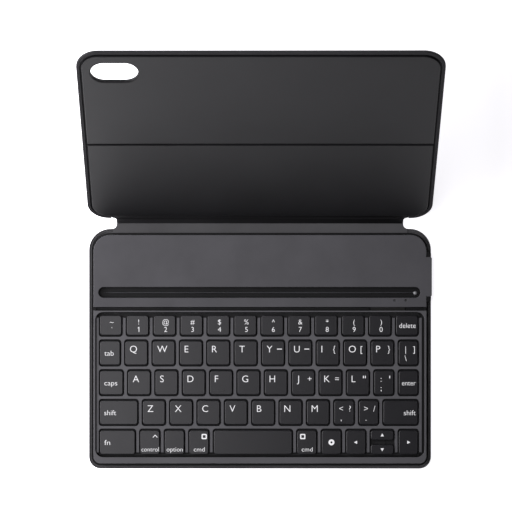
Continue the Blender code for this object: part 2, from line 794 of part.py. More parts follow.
def main():
    for obj in list(bpy.data.objects):
        bpy.data.objects.remove(obj)
    look = make_finishes()
    make_base_skin(look)
    make_lower_shell(look)
    make_keyboard_frame(look)
    make_top_deck(look)
    make_slot(look)
    make_connector_block(look)
    make_key_layers(look)
    make_electronics(look)
    make_keys(look)
    make_key_web(look)
    make_cover(look)


main()
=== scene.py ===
"""The looks of the folio keyboard case: keycaps with legends, casing, soft skin, spine and cover.

Every size is in metres, in the CAD model's frame. The cover's own space has x across it, s up its
slope from the crease where it stands up, and n along its inner face's normal.
"""

import json
import math

import bmesh
import bpy
from mathutils import Matrix, Vector


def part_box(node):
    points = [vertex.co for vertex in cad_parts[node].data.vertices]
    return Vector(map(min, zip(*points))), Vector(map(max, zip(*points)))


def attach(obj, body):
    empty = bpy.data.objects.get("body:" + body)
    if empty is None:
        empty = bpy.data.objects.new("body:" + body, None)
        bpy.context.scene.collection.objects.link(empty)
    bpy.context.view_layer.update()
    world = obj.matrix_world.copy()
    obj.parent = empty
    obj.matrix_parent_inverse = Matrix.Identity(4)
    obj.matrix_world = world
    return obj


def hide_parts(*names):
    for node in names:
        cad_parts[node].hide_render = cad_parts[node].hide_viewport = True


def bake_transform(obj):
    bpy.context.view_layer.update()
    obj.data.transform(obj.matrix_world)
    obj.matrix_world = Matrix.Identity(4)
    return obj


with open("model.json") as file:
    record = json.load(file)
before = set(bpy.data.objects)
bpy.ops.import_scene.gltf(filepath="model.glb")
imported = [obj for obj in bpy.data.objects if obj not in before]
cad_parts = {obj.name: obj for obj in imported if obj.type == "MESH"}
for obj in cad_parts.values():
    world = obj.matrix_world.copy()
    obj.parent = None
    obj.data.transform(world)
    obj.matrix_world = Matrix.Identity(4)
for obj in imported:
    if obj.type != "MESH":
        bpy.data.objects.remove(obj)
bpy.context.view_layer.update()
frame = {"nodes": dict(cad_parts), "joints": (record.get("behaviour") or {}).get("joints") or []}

MM = 0.001
SMOOTH_ANGLE = 32
SKIN_SMOOTH_ANGLE = 50
MIN_CORNER = 0.2 * MM
CLEAR = 5 * MM

# Camera
CAMERA_AT = (-0.0069, 0.0543, 1.3865)
CAMERA_LENS = 165.7
CAMERA_SHIFT = (0.0152, 0.0006)
FILL_LIGHT = 0.05
FLOOR_GLOW = (2.9, 0.66)
FLOOR_GLOW_SPAN = (-0.25, 0.14)
LIGHT_COLOUR = (0.98, 0.965, 1.0)

# Keys
KEY_GAP = 3.05 * MM
LETTER = 16.03 * MM
NUMBER = 15.78 * MM
NARROW = 14.37 * MM
PUNCTUATION = 14.20 * MM
KEY_CORNER = 1.5 * MM
KEY_FILLET = 0.40 * MM
KEY_DISH = 0.02 * MM
WEB_BAR_X = 1.7 * MM
WEB_BAR_Y = 1.5 * MM
WEB_CORNER = 1.9 * MM
LEGEND_RISE = 0.03 * MM
FONT_CAP_HEIGHT = 0.682
THINNING = 0.011
LETTER_HEIGHT = 3.9 * MM
SMALL_WORD = 2.9 * MM
TINY_WORD = 2.5 * MM

# Base
RIM_WIDTH = 1.8 * MM
MOAT_FLOOR = 0.7 * MM
REAR_RADIUS = 12.5 * MM
FRONT_RADIUS = 7.0 * MM
DECK_EDGE = 0.28 * MM
SHELL_INSET = 3.0 * MM
FRAME_SIDE = 1.1 * MM
FRAME_FRONT = 3.6 * MM
FRAME_REAR = 0.9 * MM
WELL_RADIUS = 4.6 * MM
TAB_FRONT = 30.75 * MM
TAB_REAR = 53.95 * MM
TAB_CORNER = 1.0 * MM
LAMP_HOLE_RADIUS = 0.62 * MM
RAIL_GAP = 0.1 * MM
LINER_REACH = 0.7 * MM
BAR_STEPS = 28
BAR_TAPER = 40
STUD_PROFILE = ((1.15, 0.0), (1.15, 0.75), (1.0, 0.95), (0.7, 1.08), (0.35, 1.14), (0.1, 1.16))
SWITCH_TRAVEL = 2.4 * MM
SWITCH_RIBS = 9
FILLET = 2.8 * MM

# Cover
COVER_RADIUS = 12.3 * MM
COVER_RIM = 2.0 * MM
LINING_RADIUS = 9.3 * MM
CREASE_REACH = 3.0 * MM
WINDOW_LENGTH = 26.3 * MM
WINDOW_WIDTH = 15.2 * MM
WINDOW_FROM_SIDE = 20.7 * MM
WINDOW_FROM_FAR = 15.6 * MM
SPINE_BEND = 0.35 * MM
SPINE_HALF = 0.58 * MM
SPINE_SECTION = ((0.3, -1), (0.08, -0.6), (0, 0), (0.08, 0.6), (0.3, 1))
ROOT_OVERLAP = 0.8 * MM
NECK_OVERLAP = 1.6 * MM
LINING_LOW = 0.25 * MM
LINING_EDGE = 0.25 * MM
COVER_FLOOR = 0.1 * MM
GROOVE_WIDENING = 0.45 * MM


# Frame readings


def joint_at(name):
    return Vector(next(joint["pos_m"] for joint in frame["joints"] if joint["name"] == name))


BASE_CREASE = joint_at("base_crease")
STANDING = joint_at("standing_crease")
COVER_CREASE = joint_at("cover_crease")
SLOPE = COVER_CREASE - STANDING
TILT = math.atan2(SLOPE.z, SLOPE.y)
LEAF = Matrix.Translation(STANDING) @ Matrix.Rotation(TILT, 4, "X")
COVER_CREASE_S = SLOPE.length
FOLD_S = (LEAF.inverted() @ joint_at("stand_crease")).y


def leaf_box(*nodes):
    """Lowest and highest corners of CAD nodes in the cover's own space."""
    inverse = LEAF.inverted()
    points = [inverse @ vertex.co for node in nodes for vertex in frame["nodes"][node].data.vertices]
    low = Vector([min(point[axis] for point in points) for axis in range(3)])
    high = Vector([max(point[axis] for point in points) for axis in range(3)])
    return low, high


# Mesh helpers


def rounded(left, right, front, rear, radii, steps=8):
    """A rectangle with round corners: front left, front right, rear right and rear left."""
    corners = (
        (left + radii[0], front + radii[0], radii[0], 180),
        (right - radii[1], front + radii[1], radii[1], 270),
        (right - radii[2], rear - radii[2], radii[2], 0),
        (left + radii[3], rear - radii[3], radii[3], 90),
    )
    outline = []
    for x, y, radius, start in corners:
        for step in range(steps + 1):
            angle = math.radians(start + 90 * step / steps)
            outline.append((x + radius * math.cos(angle), y + radius * math.sin(angle)))
            if radius == 0:
                break
    return outline


def stadium(left, right, front, rear, steps=16):
    radius = (rear - front) / 2
    return rounded(left, right, front, rear, [radius * 0.9999] * 4, steps // 2)


def circle(x, y, radius, sides=24):
    angles = [math.tau * side / sides for side in range(sides)]
    return [(x + radius * math.cos(angle), y + radius * math.sin(angle)) for angle in angles]


def finished(name, mesh, material, matrix=None, smooth=SMOOTH_ANGLE):
    """Turns a bmesh into an object, moved by matrix, with round faces shaded smooth."""
    bmesh.ops.remove_doubles(mesh, verts=mesh.verts[:], dist=1e-7)
    bmesh.ops.recalc_face_normals(mesh, faces=mesh.faces[:])
    data = bpy.data.meshes.new(name)
    mesh.to_mesh(data)
    mesh.free()
    level = [abs(face.normal.z) > 0.99999 for face in data.polygons]
    if matrix:
        data.transform(matrix)
    data.shade_smooth()
    data.set_sharp_from_angle(angle=math.radians(smooth))
    for face, is_level in zip(data.polygons, level):
        face.use_smooth = not is_level
    data.materials.append(material)
    piece = bpy.data.objects.new(name, data)
    bpy.context.scene.collection.objects.link(piece)
    return piece


def loft(mesh, rings, capped=True):
    """Joins rings of equal point counts with quads, and closes the ends."""
    made = [[mesh.verts.new(point) for point in ring] for ring in rings]
    for lower, upper in zip(made, made[1:]):
        for index in range(len(lower)):
            after = (index + 1) % len(lower)
            mesh.faces.new((lower[index], lower[after], upper[after], upper[index]))
    if capped:
        mesh.faces.new(made[0][::-1])
        mesh.faces.new(made[-1])


def lofted(name, rings, material, matrix=None, smooth=SMOOTH_ANGLE, capped=True):
    """A piece lofted through rings of points."""
    mesh = bmesh.new()
    loft(mesh, rings, capped)
    return finished(name, mesh, material, matrix, smooth)


def raised(outline, z):
    """An outline's points at height z."""
    return [(x, y, z) for x, y in outline]


def upright(outline, x):
    """The points, at x, of an outline in the YZ plane."""
    return [(x, y, z) for y, z in outline]


def section(low, high, inset, corner, steps=6):
    """A box's round-cornered outline in the YZ plane."""
    sides = (low.y + inset, high.y - inset, low.z + inset, high.z - inset)
    return rounded(*sides, [corner] * 4, steps)


def plate(name, loops, low, high, edge, material, matrix=None, resolution=3):
    """A flat piece from outline loops[0] with holes loops[1:], its edges rounded by edge."""
    curve = bpy.data.curves.new(name, "CURVE")
    curve.dimensions = "2D"
    curve.fill_mode = "BOTH"
    curve.extrude = (high - low) / 2 - edge
    curve.bevel_depth = edge
    curve.bevel_resolution = resolution
    curve.offset = -edge
    for loop in loops:
        spline = curve.splines.new("POLY")
        spline.points.add(len(loop) - 1)
        for point, (x, y) in zip(spline.points, loop):
            point.co = (x, y, 0, 1)
        spline.use_cyclic_u = True
    shape = bpy.data.objects.new(name, curve)
    bpy.context.scene.collection.objects.link(shape)
    bpy.context.view_layer.update()
    graph = bpy.context.evaluated_depsgraph_get()
    data = bpy.data.meshes.new_from_object(shape.evaluated_get(graph))
    bpy.data.objects.remove(shape)
    mesh = bmesh.new()
    mesh.from_mesh(data)
    bmesh.ops.translate(mesh, verts=mesh.verts[:], vec=(0, 0, (low + high) / 2))
    return finished(name, mesh, material, matrix)


def cut_box(piece, low, high, matrix=None):
    """Cuts a box out of a closed piece."""
    mesh = bmesh.new()
    bmesh.ops.create_cube(mesh, size=1)
    for vertex in mesh.verts:
        vertex.co = [low[a] + (vertex.co[a] + 0.5) * (high[a] - low[a]) for a in range(3)]
    return cut_with(piece, finished("cutter", mesh, piece.data.materials[0], matrix))


def cut_with(piece, cutter):
    """Cuts a closed cutter, which is used up, out of a closed piece."""
    modifier = piece.modifiers.new("cut", "BOOLEAN")
    modifier.operation = "DIFFERENCE"
    modifier.solver = "EXACT"
    modifier.object = cutter
    graph = bpy.context.evaluated_depsgraph_get()
    data = bpy.data.meshes.new_from_object(piece.evaluated_get(graph))
    piece.modifiers.clear()
    piece.data = data
    bpy.data.objects.remove(cutter)
    data.set_sharp_from_angle(angle=math.radians(SMOOTH_ANGLE))
    return piece


# Materials


class Nodes:
    """Builds one material's node tree."""

    def __init__(self, name):
        self.material = bpy.data.materials.new(name)
        self.material.use_nodes = True
        self.tree = self.material.node_tree
        self.shader = self.tree.nodes["Principled BSDF"]

    def fill(self, node, inputs):
        """Links the inputs that are given a socket, and sets the others."""
        for name, value in inputs.items():
            socket = node.inputs[name.replace("_", " ")]
            if isinstance(value, bpy.types.NodeSocket):
                self.tree.links.new(value, socket)
            else:
                socket.default_value = value

    def add(self, kind, **inputs):
        node = self.tree.nodes.new(kind)
        self.fill(node, inputs)
        return node

    def shade(self, **inputs):
        self.fill(self.shader, inputs)

    def position(self, stretch=(1, 1, 1)):
        place = self.add("ShaderNodeTexCoord").outputs["Object"]
        return self.add("ShaderNodeMapping", Vector=place, Scale=stretch).outputs["Vector"]

    def noise(self, place, scale, detail):
        node = self.add("ShaderNodeTexNoise", Vector=place, Scale=scale, Detail=detail)
        return node.outputs["Fac"]

    def pebble(self, place, scale):
        node = self.add("ShaderNodeTexVoronoi", Vector=place, Scale=scale)
        node.feature = "SMOOTH_F1"
        return node.outputs["Distance"]

    def ranged(self, source, low, high, start=0.3, end=0.7):
        node = self.add(
            "ShaderNodeMapRange", Value=source, From_Min=start, From_Max=end, To_Min=low, To_Max=high
        )
        return node.outputs["Result"]

    def colours(self, source, dark, light):
        ramp = self.add("ShaderNodeValToRGB", Fac=source)
        first, last = ramp.color_ramp.elements
        first.position, first.color = 0.3, (*dark, 1)
        last.position, last.color = 0.7, (*light, 1)
        return ramp.outputs["Color"]

    def mottled(self, place, scale, colour, spread):
        """A cloudy variation of one colour."""
        cloud = self.noise(place, scale, 4)
        return self.colours(cloud, scaled(colour, 1 - spread), scaled(colour, 1 + spread))

    def bump(self, source, strength, distance, under=None):
        node = self.add("ShaderNodeBump", Height=source, Strength=strength, Distance=distance)
        if under:
            self.fill(node, {"Normal": under})
        return node.outputs["Normal"]


def scaled(colour, factor):
    return tuple(channel * factor for channel in colour)


def moulded(name, colour, roughness, specular=0.5, grain=2600, depth=0.012, wear=0.04):
    """Moulded plastic: a fine spark-eroded grain with faint cloudy variation."""
    nodes = Nodes(name)
    place = nodes.position()
    nodes.shade(
        Base_Color=nodes.mottled(place, 45, colour, 0.10),
        Roughness=nodes.ranged(nodes.noise(place, 140, 5), roughness - wear, roughness + wear),
        Normal=nodes.bump(nodes.noise(place, grain, 2), 0.35, depth * MM),
        Specular_IOR_Level=specular,
    )
    return nodes.material


def leather(name, colour, roughness, specular, cell=1500, depth=0.03):
    """Synthetic leather: small pebbles over a finer wrinkle."""
    nodes = Nodes(name)
    place = nodes.position()
    cells = nodes.pebble(place, cell)
    wrinkle = nodes.bump(nodes.noise(place, cell * 0.45, 5), 0.3, depth * MM)
    nodes.shade(
        Base_Color=nodes.mottled(place, 30, colour, 0.12),
        Roughness=nodes.ranged(cells, roughness - 0.05, roughness + 0.06, 0.1, 0.8),
        Normal=nodes.bump(cells, 0.4, depth * MM, wrinkle),
        Specular_IOR_Level=specular,
    )
    return nodes.material


def brushed(name, colour, roughness, stretch=(30, 900, 900), metallic=1.0):
    """Metal drawn along X."""
    nodes = Nodes(name)
    streaks = nodes.noise(nodes.position(stretch), 1.0, 4)
    nodes.shade(
        Base_Color=nodes.colours(streaks, scaled(colour, 0.82), scaled(colour, 1.1)),
        Roughness=nodes.ranged(streaks, roughness - 0.08, roughness + 0.08),
        Normal=nodes.bump(streaks, 0.2, 0.01 * MM),
        Metallic=metallic,
    )
    return nodes.material


def ink(name, colour):
    """Printed legend: slightly uneven matt ink with a painted glow, a little emission that brightens the
    print as light would.
    """
    nodes = Nodes(name)
    speckle = nodes.noise(nodes.position(), 1800, 3)
    nodes.shade(
        Base_Color=nodes.colours(speckle, scaled(colour, 0.93), colour),
        Roughness=nodes.ranged(speckle, 0.5, 0.65),
        Normal=nodes.bump(speckle, 0.15, 0.01 * MM),
        # Painted glow: the print emits a little light of its own, though it is no lamp.
        Emission_Color=(*colour, 1),
        Emission_Strength=0.3,
    )
    return nodes.material


def circuit(name):
    """Solder mask with a faint pattern of tracks."""
    nodes = Nodes(name)
    tracks = nodes.add(
        "ShaderNodeTexBrick",
        Vector=nodes.position((260, 260, 1)),
        Scale=1.0,
        Mortar_Size=0.06,
        Color1=(0.012, 0.085, 0.035, 1),
        Color2=(0.016, 0.105, 0.045, 1),
        Mortar=(0.09, 0.20, 0.06, 1),
    )
    nodes.shade(
        Base_Color=tracks.outputs["Color"],
        Normal=nodes.bump(tracks.outputs["Fac"], 0.3, 0.03 * MM),
        Roughness=0.35,
    )
    return nodes.material


SKIN = leather("skin_leather", (0.084, 0.083, 0.086), 0.62, 0.16)
# Painted shade: a darker copy of the skin's leather, for the cover's outer skin and rim.
SHADED_COVER_SKIN = leather("cover_leather_painted_shade", (0.034, 0.0335, 0.036), 0.62, 0.14)
# Painted shade: the darkest copy of the skin's leather, for the standing spine strip, the fold's groove
# floor and the window's edge.
PAINTED_SHADE_SKIN = leather("fold_leather_painted_shade", (0.016, 0.0157, 0.017), 0.60, 0.15)
LINING = leather("lining_leather", (0.012, 0.0118, 0.0132), 0.40, 0.32, 2400, 0.010)
DECK = moulded("deck_plastic", (0.074, 0.0725, 0.080), 0.55, 0.45)
FRAME = moulded("frame_plastic", (0.088, 0.0865, 0.094), 0.50, 0.5)
WEB = moulded("web_plastic", (0.098, 0.0965, 0.105), 0.50, 0.5)
KEYCAP = moulded("keycap_plastic", (0.013, 0.0126, 0.0152), 0.30, 0.5, 3200, 0.004, wear=0.01)
BLACK = moulded("black_plastic", (0.006, 0.006, 0.0065), 0.50, 0.2)
BAR = brushed("bar_satin", (0.030, 0.030, 0.033), 0.45, (20, 900, 900), 0.1)
STEEL = brushed("steel_plain", (0.56, 0.56, 0.57), 0.30)
DULL_STEEL = brushed("steel_dull", (0.30, 0.30, 0.31), 0.45, (300, 300, 300), 0.6)
FILM = moulded("film_dark", (0.014, 0.013, 0.012), 0.34, 0.4, 900, 0.004)
SILICONE = moulded("silicone_dark", (0.010, 0.010, 0.011), 0.62, 0.3, 1200, 0.010)
CELL = brushed("cell_foil", (0.60, 0.61, 0.63), 0.34, (120, 120, 120), 0.8)
BOARD = leather("stiffener_board", (0.022, 0.022, 0.024), 0.7, 0.3, 900, 0.02)
LAMP = moulded("lamp_pipe", (0.06, 0.06, 0.06), 0.25, 0.6, 1500, 0.004)
INK_WITH_PAINTED_GLOW = ink("legend_ink_painted_glow", (0.86, 0.86, 0.87))
CIRCUIT = circuit("circuit_mask")


# Stage


def area_light(name, location, target, size, power):
    data = bpy.data.lights.new(name, "AREA")
    data.shape = "RECTANGLE"
    data.size, data.size_y = size
    data.energy = power
    data.color = LIGHT_COLOUR
    light = bpy.data.objects.new(name, data)
    bpy.context.scene.collection.objects.link(light)
    light.location = location
    light.visible_camera = False
    light.rotation_euler = (Vector(target) - Vector(location)).to_track_quat("-Z", "Y").to_euler()


def make_camera():
    data = bpy.data.cameras.new("camera")
    data.lens = CAMERA_LENS
    data.sensor_width = 36
    data.shift_x, data.shift_y = CAMERA_SHIFT
    data.clip_start = 0.05
    data.clip_end = 20
    camera = bpy.data.objects.new("camera", data)
    bpy.context.scene.collection.objects.link(camera)
    camera.location = CAMERA_AT
    bpy.context.scene.camera = camera


def make_world():
    """White to the camera, and a dim fill to the surfaces."""
    world = bpy.data.worlds.new("studio")
    bpy.context.scene.world = world
    world.use_nodes = True
    tree = world.node_tree
    background = tree.nodes["Background"]
    path = tree.nodes.new("ShaderNodeLightPath")
    level = tree.nodes.new("ShaderNodeMapRange")
    level.inputs["To Min"].default_value = FILL_LIGHT
    level.inputs["To Max"].default_value = 1.0
    tree.links.new(path.outputs["Is Camera Ray"], level.inputs["Value"])
    tree.links.new(level.outputs["Result"], background.inputs["Strength"])
    background.inputs["Color"].default_value = (1, 1, 1, 1)


def make_floor():
    """A plain white table, which glows a little more at the left, where the light comes from."""
    mesh = bmesh.new()
    bmesh.ops.create_grid(mesh, x_segments=2, y_segments=2, size=6)
    nodes = Nodes("floor_white")
    place = nodes.position()
    across = nodes.add("ShaderNodeSeparateXYZ", Vector=place)
    nodes.shade(
        Base_Color=nodes.colours(nodes.noise(place, 3, 2), (0.86, 0.86, 0.86), (0.88, 0.88, 0.88)),
        Roughness=0.9,
        Specular_IOR_Level=0.0,
        Emission_Color=(0.975, 0.965, 1, 1),
        Emission_Strength=nodes.ranged(across.outputs["X"], *FLOOR_GLOW, *FLOOR_GLOW_SPAN),
    )
    floor = finished("floor", mesh, nodes.material)
    floor.location.z = -0.0002


def make_stage():
    make_camera()
    make_world()
    make_floor()
    area_light("overhead_left", (-0.54, 0.22, 1.0), (-0.54, 0.2201, 0), (1.0, 1.1), 8.2)
    area_light("low_left", (-0.80, 0.10, 0.45), (0, 0.05, 0), (0.7, 0.5), 6.5)
    bpy.context.scene.view_settings.view_transform = "Standard"
    bpy.context.scene.view_settings.look = "None"


# Keys


def cap_piece(name, x, y, z):
    """One keycap: upright sides, a filleted top edge and a top that lies a hair below the edge."""
    low, high = z
    top = high - KEY_DISH
    rings = []

    def ring(inset, height, corner):
        sides = (x[0] + inset, x[1] - inset, y[0] + inset, y[1] - inset)
        rings.append(raised(rounded(*sides, [max(corner, MIN_CORNER)] * 4, 6), height))

    ring(0.02 * MM, low, KEY_CORNER)
    ring(0, low + 0.1 * MM, KEY_CORNER)
    for step in range(6):
        angle = math.radians(90 * step / 5)
        inset = KEY_FILLET * (1 - math.cos(angle))
        ring(inset, high - KEY_FILLET * (1 - math.sin(angle)), KEY_CORNER - inset)
    ring(KEY_FILLET + 0.22 * MM, top, KEY_CORNER - KEY_FILLET - 0.15 * MM)
    return lofted(name, rings, KEYCAP, smooth=40), top


def text_shape(text, cap_height, width=None):
    """Mesh data of a word, its cap height as given, its lower left corner at the origin."""
    curve = bpy.data.curves.new("word", "FONT")
    curve.body = text
    curve.size = cap_height / FONT_CAP_HEIGHT
    curve.extrude = LEGEND_RISE
    curve.offset = -THINNING * cap_height
    curve.resolution_u = 4
    holder = bpy.data.objects.new("word", curve)
    bpy.context.scene.collection.objects.link(holder)
    bpy.context.view_layer.update()
    graph = bpy.context.evaluated_depsgraph_get()
    data = bpy.data.meshes.new_from_object(holder.evaluated_get(graph))
    bpy.data.objects.remove(holder)
    xs = [vertex.co.x for vertex in data.vertices]
    left, natural = min(xs), max(xs) - min(xs)
    stretch = width / natural if width else 1
    for vertex in data.vertices:
        vertex.co.x = (vertex.co.x - left) * stretch
    return data, natural * stretch


def frame_shape(outer, inner):
    """Mesh data of a flat raised outline with a hole of as many points."""
    mesh = bmesh.new()
    rings = []
    for points, height in ((inner, -1), (outer, -1), (outer, 1), (inner, 1), (inner, -1)):
        rings.append(raised(points, height * LEGEND_RISE))
    loft(mesh, rings, False)
    bmesh.ops.remove_doubles(mesh, verts=mesh.verts[:], dist=1e-7)
    data = bpy.data.meshes.new("glyph")
    mesh.to_mesh(data)
    mesh.free()
    return data


def polygon_shape(points):
    """Mesh data of a flat raised outline."""
    mesh = bmesh.new()
    for height in (-LEGEND_RISE, LEGEND_RISE):
        mesh.faces.new([mesh.verts.new((x, y, height)) for x, y in points])
    lower, upper = (list(face.verts) for face in mesh.faces)
    for index in range(len(points)):
        after = (index + 1) % len(points)
        mesh.faces.new((lower[index], lower[after], upper[after], upper[index]))
    bmesh.ops.recalc_face_normals(mesh, faces=mesh.faces[:])
    data = bpy.data.meshes.new("glyph")
    mesh.to_mesh(data)
    mesh.free()
    return data


class Legend:
    """Collects a key's printed marks, placed from its left edge and its rear edge."""

    def __init__(self, name, x, y, top):
        self.name = name
        self.x, self.y, self.top = x, y, top
        self.mesh = bmesh.new()

    def place(self, data, x, y):
        start = len(self.mesh.verts)
        self.mesh.from_mesh(data)
        self.mesh.verts.ensure_lookup_table()
        bmesh.ops.translate(self.mesh, verts=self.mesh.verts[start:], vec=(x, y, self.top))
        bpy.data.meshes.remove(data)

    def word(self, text, x, y, cap_height, align="left", width=None):
        """Writes text with its left edge, middle or right edge at x and its caps centred on y."""
        data, width = text_shape(text, cap_height, width)
        shift = {"left": 0, "middle": width / 2, "right": width}[align]
        self.place(data, x - shift, y - cap_height / 2)

    def shape(self, points, x, y):
        self.place(polygon_shape(points), x, y)

    def ring(self, outer, inner, x, y):
        self.place(frame_shape(outer, inner), x, y)

    def mark(self, text, x, y, cap_height):
        """A symbol centred on x, drawn from strokes where the font's own would be too slight."""
        if text == "-":
            self.shape(bar_outline(2.9 * MM, 0.5 * MM), x, y)
        elif text in ("'", '"'):
            shifts = (0,) if text == "'" else (-0.55 * MM, 0.55 * MM)
            for shift in shifts:
                self.shape(bar_outline(0.5 * MM, 1.5 * MM), x + shift, y + cap_height * 0.32)
        elif text == "1":
            self.shape(bar_outline(0.42 * MM, cap_height), x + 0.15 * MM, y)
            flag = bar_outline(0.42 * MM, 0.75 * MM, 0.28 * MM)
            self.shape(flag, x - 0.2 * MM, y + cap_height / 2 - 0.42 * MM)
        else:
            self.word(text, x, y, cap_height, "middle")

    def finish(self, body):
        piece = finished(self.name, self.mesh, INK_WITH_PAINTED_GLOW)
        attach(piece, body)


def triangle(direction, size=1.15 * MM):
    """A small arrowhead that points left, right, up or down."""
    turn = {"right": 0, "up": 90, "left": 180, "down": 270}[direction]
    angles = [math.radians(turn + step) for step in (0, 125, 235)]
    return [(size * math.cos(angle), size * math.sin(angle)) for angle in angles]


def square_outline(size, corner):
    return rounded(-size, size, -size, size, [corner] * 4, 4)


def bar_outline(width, height, lean=0.0):
    """A stroke about the origin, its top shifted sideways by lean."""
    x, y = width / 2, height / 2
    return [(-x - lean, -y), (x - lean, -y), (x + lean, y), (-x + lean, y)]


def letter_legend(main, second=None):
    def draw(legend):
        row = legend.y[1] - 4.7 * MM
        legend.word(main, legend.x[0] + 2.75 * MM, row, LETTER_HEIGHT)
        if second:
            legend.mark(second, legend.x[0] + 10.2 * MM, row, LETTER_HEIGHT * 0.88)

    return draw


def punctuation_legend(top_left, top_right, below):
    def draw(legend):
        row = legend.y[1] - 4.7 * MM
        legend.mark(top_left, legend.x[0] + 4.0 * MM, row, LETTER_HEIGHT * 0.85)
        legend.mark(top_right, legend.x[1] - 2.3 * MM, row, LETTER_HEIGHT * 0.85)
        legend.mark(below, legend.x[0] + 4.0 * MM, row - 5.4 * MM, LETTER_HEIGHT * 0.85)

    return draw


def number_legend(symbol, digit):
    def draw(legend):
        middle = sum(legend.x) / 2 + 0.6 * MM
        centre = sum(legend.y) / 2
        legend.mark(symbol, middle, centre + 2.0 * MM, 2.9 * MM)
        legend.mark(digit, middle, centre - 2.4 * MM, 2.9 * MM)

    return draw


def side_word(text, width, align="left"):
    def draw(legend):
        edge = legend.x[0] + 2.6 * MM if align == "left" else legend.x[1] - 1.3 * MM
        if align == "middle":
            edge = sum(legend.x) / 2 + 0.3 * MM
        legend.word(text, edge, sum(legend.y) / 2 - 0.1 * MM, SMALL_WORD, align, width * MM)

    return draw


def low_word(text, width, mark=None, mark_side="right"):
    def draw(legend):
        middle = sum(legend.x) / 2 + 0.15 * MM
        legend.word(text, middle, legend.y[0] + 2.9 * MM, TINY_WORD, "middle", width * MM)
        edge = legend.x[1] - 2.6 * MM if mark_side == "right" else legend.x[0] + 3.2 * MM
        row = legend.y[1] - 3.6 * MM
        if mark == "caret":
            for side in (-1, 1):
                stroke = bar_outline(0.55 * MM, 1.5 * MM, -side * 0.62 * MM)
                legend.shape(stroke, edge + side * 0.62 * MM, row + 0.2 * MM)
        if mark == "square":
            inner = square_outline(0.85 * MM, 0.3 * MM)
            legend.ring(square_outline(1.55 * MM, 0.6 * MM), inner, edge, row)

    return draw


def arrow_mark(direction):
    def draw(legend):
        legend.shape(triangle(direction), sum(legend.x) / 2, sum(legend.y) / 2)

    return draw


def link_mark(legend):
    """A plain thick ring."""
    x, y = sum(legend.x) / 2, sum(legend.y) / 2
    legend.ring(circle(0, 0, 1.75 * MM), circle(0, 0, 0.6 * MM), x, y)


def no_mark(legend):
    pass


SINGLE_KEYS = {
    "key_fn": side_word("fn", 3.4),
    "key_control": low_word("control", 10.2, "caret"),
    "key_option": low_word("option", 9.4),
    "key_command_left": low_word("cmd", 6.4, "square"),
    "key_space": no_mark,
    "key_command_right": low_word("cmd", 6.4, "square", "left"),
    "key_link": link_mark,
    "key_arrow_left": arrow_mark("left"),
    "key_arrow_up": arrow_mark("up"),
    "key_arrow_down": arrow_mark("down"),
    "key_arrow_right": arrow_mark("right"),
    "key_shift_left": side_word("shift", 6.9),
    "key_shift_right": side_word("shift", 6.9, "right"),
    "key_caps": side_word("caps", 7.6),
    "key_enter": side_word("enter", 8.1, "middle"),
    "key_tab": side_word("tab", 5.5),
    "key_delete": side_word("delete", 9.6, "middle"),
    "key_comma": punctuation_legend("<", "?", ","),
    "key_full_stop": punctuation_legend(">", "/", "."),
}
for character in "zxcvbnm":
    SINGLE_KEYS["key_" + character] = letter_legend(character.upper())

SECOND_MARKS = {"y": "-", "u": "-", "i": "{", "o": "[", "p": "}", "j": "+", "k": "=", "l": '"'}
NUMBER_MARKS = (("~", "`"), *zip("!@#$%^&*()", "1234567890"))


def letter_members(letters):
    legends = [letter_legend(mark.upper(), SECOND_MARKS.get(mark)) for mark in letters]
    return [("letter_" + mark, LETTER, legend) for mark, legend in zip(letters, legends)]


BANKS = {
    "home_row_keys": letter_members("asdfghjkl")
    + [("semicolon", NARROW, punctuation_legend(":", "'", ";"))],
    "upper_row_keys": letter_members("qwertyuiop")
    + [("backslash", PUNCTUATION, punctuation_legend("|", "]", "\\"))],
    "number_row_keys": [
        ("number_" + str(index), NUMBER, number_legend(*marks))
        for index, marks in enumerate(NUMBER_MARKS)
    ],
}


def bank_spans(node):
    """The left and right edges of each cap in a bank, from the bank's right end."""
    low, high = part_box(node)
    spans = {}
    right = high.x
    members = BANKS[node]
    for name, pitch, _ in reversed(members):
        left = right - (pitch - KEY_GAP)
        spans[name] = (left, right)
        right = left - KEY_GAP
    first = members[0][0]
    spans[first] = (low.x, spans[first][1])
    return spans


def homing_bar(name, x, y, top, body):
    """The small raised bar on the keys where the index fingers rest."""
    low = y[0] + 2.4 * MM
    middle = sum(x) / 2
    outline = stadium(middle - 2.2 * MM, middle + 2.2 * MM, low - 0.3 * MM, low + 0.3 * MM, 8)
    rings = []
    for inset, height in ((0, -0.05), (0, 0.05), (0.08, 0.14), (0.2, 0.18)):
        factor = 1 - inset / 2
        shrunk = [(middle + (px - middle) * factor, low + (py - low) * factor) for px, py in outline]
        rings.append(raised(shrunk, top + height * MM))
    bar = lofted(name, rings, KEYCAP)
    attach(bar, body)


def make_key(name, x, y, z, draw, body, node):
    cap, top = cap_piece("cap_" + name, x, y, z)
    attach(cap, body)
    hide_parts(node)
    legend = Legend("legend_" + name, x, y, top)
    draw(legend)
    if legend.mesh.verts:
        legend.finish(body)
    else:
        legend.mesh.free()
    if name in ("letter_f", "letter_j"):
        homing_bar("homing_" + name, x, y, top, body)


def make_keys():
    """Every keycap, and the opening each needs in the web."""
    openings = {}
    for node, draw in SINGLE_KEYS.items():
        low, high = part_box(node)
        make_key(node, (low.x, high.x), (low.y, high.y), (low.z, high.z), draw, "body_" + node, node)
        openings[node] = (low.x, high.x, low.y, high.y)
    for node, members in BANKS.items():
        low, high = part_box(node)
        spans = bank_spans(node)
        for name, _, draw in members:
            make_key(name, spans[name], (low.y, high.y), (low.z, high.z), draw, "body_" + node, node)
            openings[name] = (*spans[name], low.y, high.y)
    pair = openings.pop("key_arrow_up")
    down = openings["key_arrow_down"]
    openings["key_arrow_down"] = (down[0], down[1], down[2], pair[3])
    return openings


